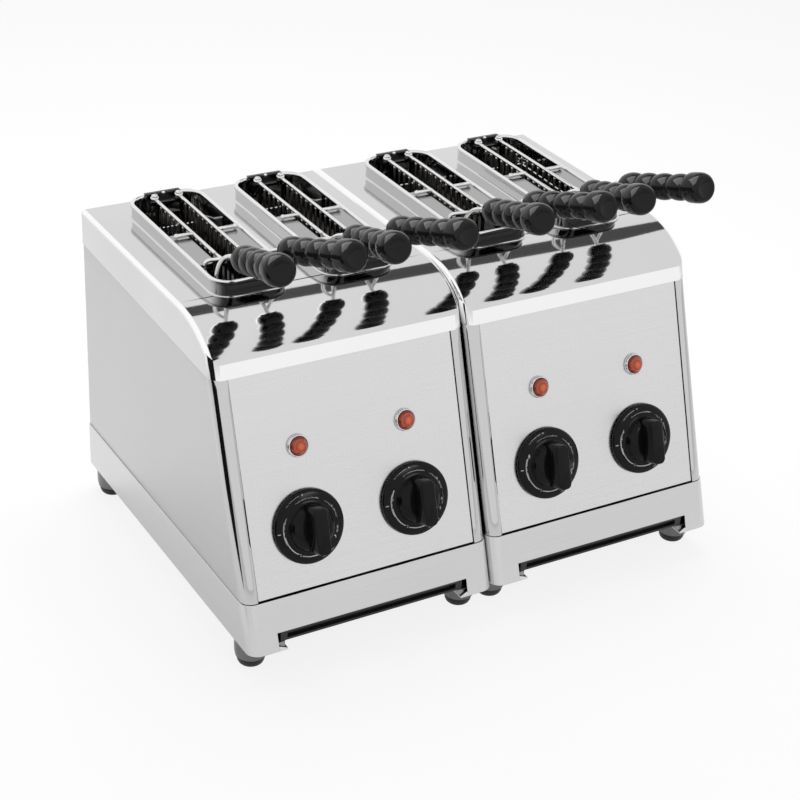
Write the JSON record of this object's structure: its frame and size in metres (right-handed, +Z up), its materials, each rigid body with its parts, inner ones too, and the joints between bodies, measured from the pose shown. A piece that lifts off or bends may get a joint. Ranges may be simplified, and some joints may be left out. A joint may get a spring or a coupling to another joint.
{
  "type": "croque monsieur toaster",
  "caption": "Steel countertop croque monsieur toaster with sloped fronts, lift-out wire tongs with ribbed black grips, timer knobs, pilot lamps and slide-out crumb trays.",
  "frame": {"origin": "on the worktop, below the middle of the outline of both housings", "axes": "+X to the right seen from the front, +Y to the back, +Z up"},
  "size_m": [0.4294, 0.3216, 0.3387],
  "materials": {
    "polished_steel": "mirror-polished stainless steel",
    "brushed_steel": "satin brushed stainless steel",
    "plain_steel": "plain mill-finish steel",
    "steel_wire": "bright drawn steel wire",
    "black_enamel": "black enamelled steel",
    "black_plastic": "glossy black heat-proof plastic",
    "rubber_foot": "dark moulded rubber",
    "lamp_orange": "clear orange-red lens in a thin bezel",
    "quartz": "frosted quartz tubes in ceramic end bars",
    "timer_case": "moulded clockwork timer case"
  },
  "bodies": {
    "housing": {"left_base_pan": "brushed_steel", "left_body_wrap": "brushed_steel", "left_control_panel": "brushed_steel", "left_top_cover": "polished_steel", "left_rear_panel": "plain_steel", "left_heat_shield": "plain_steel", "left_foot_front_left": "rubber_foot", "left_foot_front_right": "rubber_foot", "left_foot_rear_left": "rubber_foot", "left_foot_rear_right": "rubber_foot", "left_timer_left": "timer_case", "left_timer_right": "timer_case", "left_pilot_lamp_left": "lamp_orange", "left_pilot_lamp_right": "lamp_orange", "left_heater_left": "quartz", "left_heater_middle": "quartz", "left_heater_right": "quartz", "right_base_pan": "brushed_steel", "right_body_wrap": "brushed_steel", "right_control_panel": "brushed_steel", "right_top_cover": "polished_steel", "right_rear_panel": "plain_steel", "right_heat_shield": "plain_steel", "right_foot_front_left": "rubber_foot", "right_foot_front_right": "rubber_foot", "right_foot_rear_left": "rubber_foot", "right_foot_rear_right": "rubber_foot", "right_timer_left": "timer_case", "right_timer_right": "timer_case", "right_pilot_lamp_left": "lamp_orange", "right_pilot_lamp_right": "lamp_orange", "right_heater_left": "quartz", "right_heater_middle": "quartz", "right_heater_right": "quartz"},
    "left_crumb_tray": {"left_crumb_tray": "black_enamel"},
    "left_knob_left": {"left_knob_left": "black_plastic"},
    "left_knob_right": {"left_knob_right": "black_plastic"},
    "right_crumb_tray": {"right_crumb_tray": "black_enamel"},
    "right_knob_left": {"right_knob_left": "black_plastic"},
    "right_knob_right": {"right_knob_right": "black_plastic"},
    "tong_1": {"tong_1_bridge": "steel_wire"},
    "tong_1_left": {"tong_1_left_half": "steel_wire", "tong_1_left_grip": "black_plastic"},
    "tong_1_right": {"tong_1_right_half": "steel_wire", "tong_1_right_grip": "black_plastic"},
    "tong_2": {"tong_2_bridge": "steel_wire"},
    "tong_2_left": {"tong_2_left_half": "steel_wire", "tong_2_left_grip": "black_plastic"},
    "tong_2_right": {"tong_2_right_half": "steel_wire", "tong_2_right_grip": "black_plastic"},
    "tong_3": {"tong_3_bridge": "steel_wire"},
    "tong_3_left": {"tong_3_left_half": "steel_wire", "tong_3_left_grip": "black_plastic"},
    "tong_3_right": {"tong_3_right_half": "steel_wire", "tong_3_right_grip": "black_plastic"},
    "tong_4": {"tong_4_bridge": "steel_wire"},
    "tong_4_left": {"tong_4_left_half": "steel_wire", "tong_4_left_grip": "black_plastic"},
    "tong_4_right": {"tong_4_right_half": "steel_wire", "tong_4_right_grip": "black_plastic"}
  },
  "joints": [
    {"name": "left_tray_slide", "type": "slide", "parent": "housing", "child": "left_crumb_tray", "axis": [0, -1, 0], "range_m": [0, 0.24]},
    {"name": "left_knob_left_turn", "type": "hinge", "parent": "housing", "child": "left_knob_left", "pos_m": [-0.1535, -0.13046, 0.109], "axis": [0, 0.9478, -0.319], "range_deg": [0, 300]},
    {"name": "left_knob_right_turn", "type": "hinge", "parent": "housing", "child": "left_knob_right", "pos_m": [-0.0615, -0.13046, 0.109], "axis": [0, 0.9478, -0.319], "range_deg": [0, 300]},
    {"name": "right_tray_slide", "type": "slide", "parent": "housing", "child": "right_crumb_tray", "axis": [0, -1, 0], "range_m": [0, 0.24]},
    {"name": "right_knob_left_turn", "type": "hinge", "parent": "housing", "child": "right_knob_left", "pos_m": [0.0615, -0.13046, 0.109], "axis": [0, 0.9478, -0.319], "range_deg": [0, 300]},
    {"name": "right_knob_right_turn", "type": "hinge", "parent": "housing", "child": "right_knob_right", "pos_m": [0.1535, -0.13046, 0.109], "axis": [0, 0.9478, -0.319], "range_deg": [0, 300]},
    {"name": "tong_1_lift", "type": "slide", "parent": "housing", "child": "tong_1", "axis": [0, 0, 1], "range_m": [0, 0.135]},
    {"name": "tong_1_left_close", "type": "hinge", "parent": "tong_1", "child": "tong_1_left", "pos_m": [-0.164, 0.1257, 0.2757], "axis": [0, 0, 1], "range_deg": [0, 2.4]},
    {"name": "tong_1_right_close", "type": "hinge", "parent": "tong_1", "child": "tong_1_right", "pos_m": [-0.143, 0.1257, 0.2757], "axis": [0, 0, -1], "range_deg": [0, 2.4]},
    {"name": "tong_2_lift", "type": "slide", "parent": "housing", "child": "tong_2", "axis": [0, 0, 1], "range_m": [0, 0.135]},
    {"name": "tong_2_left_close", "type": "hinge", "parent": "tong_2", "child": "tong_2_left", "pos_m": [-0.072, 0.1257, 0.2757], "axis": [0, 0, 1], "range_deg": [0, 2.4]},
    {"name": "tong_2_right_close", "type": "hinge", "parent": "tong_2", "child": "tong_2_right", "pos_m": [-0.051, 0.1257, 0.2757], "axis": [0, 0, -1], "range_deg": [0, 2.4]},
    {"name": "tong_3_lift", "type": "slide", "parent": "housing", "child": "tong_3", "axis": [0, 0, 1], "range_m": [0, 0.135]},
    {"name": "tong_3_left_close", "type": "hinge", "parent": "tong_3", "child": "tong_3_left", "pos_m": [0.051, 0.1257, 0.2757], "axis": [0, 0, 1], "range_deg": [0, 2.4]},
    {"name": "tong_3_right_close", "type": "hinge", "parent": "tong_3", "child": "tong_3_right", "pos_m": [0.072, 0.1257, 0.2757], "axis": [0, 0, -1], "range_deg": [0, 2.4]},
    {"name": "tong_4_lift", "type": "slide", "parent": "housing", "child": "tong_4", "axis": [0, 0, 1], "range_m": [0, 0.135]},
    {"name": "tong_4_left_close", "type": "hinge", "parent": "tong_4", "child": "tong_4_left", "pos_m": [0.143, 0.1257, 0.2757], "axis": [0, 0, 1], "range_deg": [0, 2.4]},
    {"name": "tong_4_right_close", "type": "hinge", "parent": "tong_4", "child": "tong_4_right", "pos_m": [0.164, 0.1257, 0.2757], "axis": [0, 0, -1], "range_deg": [0, 2.4]}
  ],
  "couplings": [
    {"joint": "tong_1_right_close", "follows": "tong_1_left_close", "ratio": 1},
    {"joint": "tong_2_right_close", "follows": "tong_2_left_close", "ratio": 1},
    {"joint": "tong_3_right_close", "follows": "tong_3_left_close", "ratio": 1},
    {"joint": "tong_4_right_close", "follows": "tong_4_left_close", "ratio": 1}
  ]
}
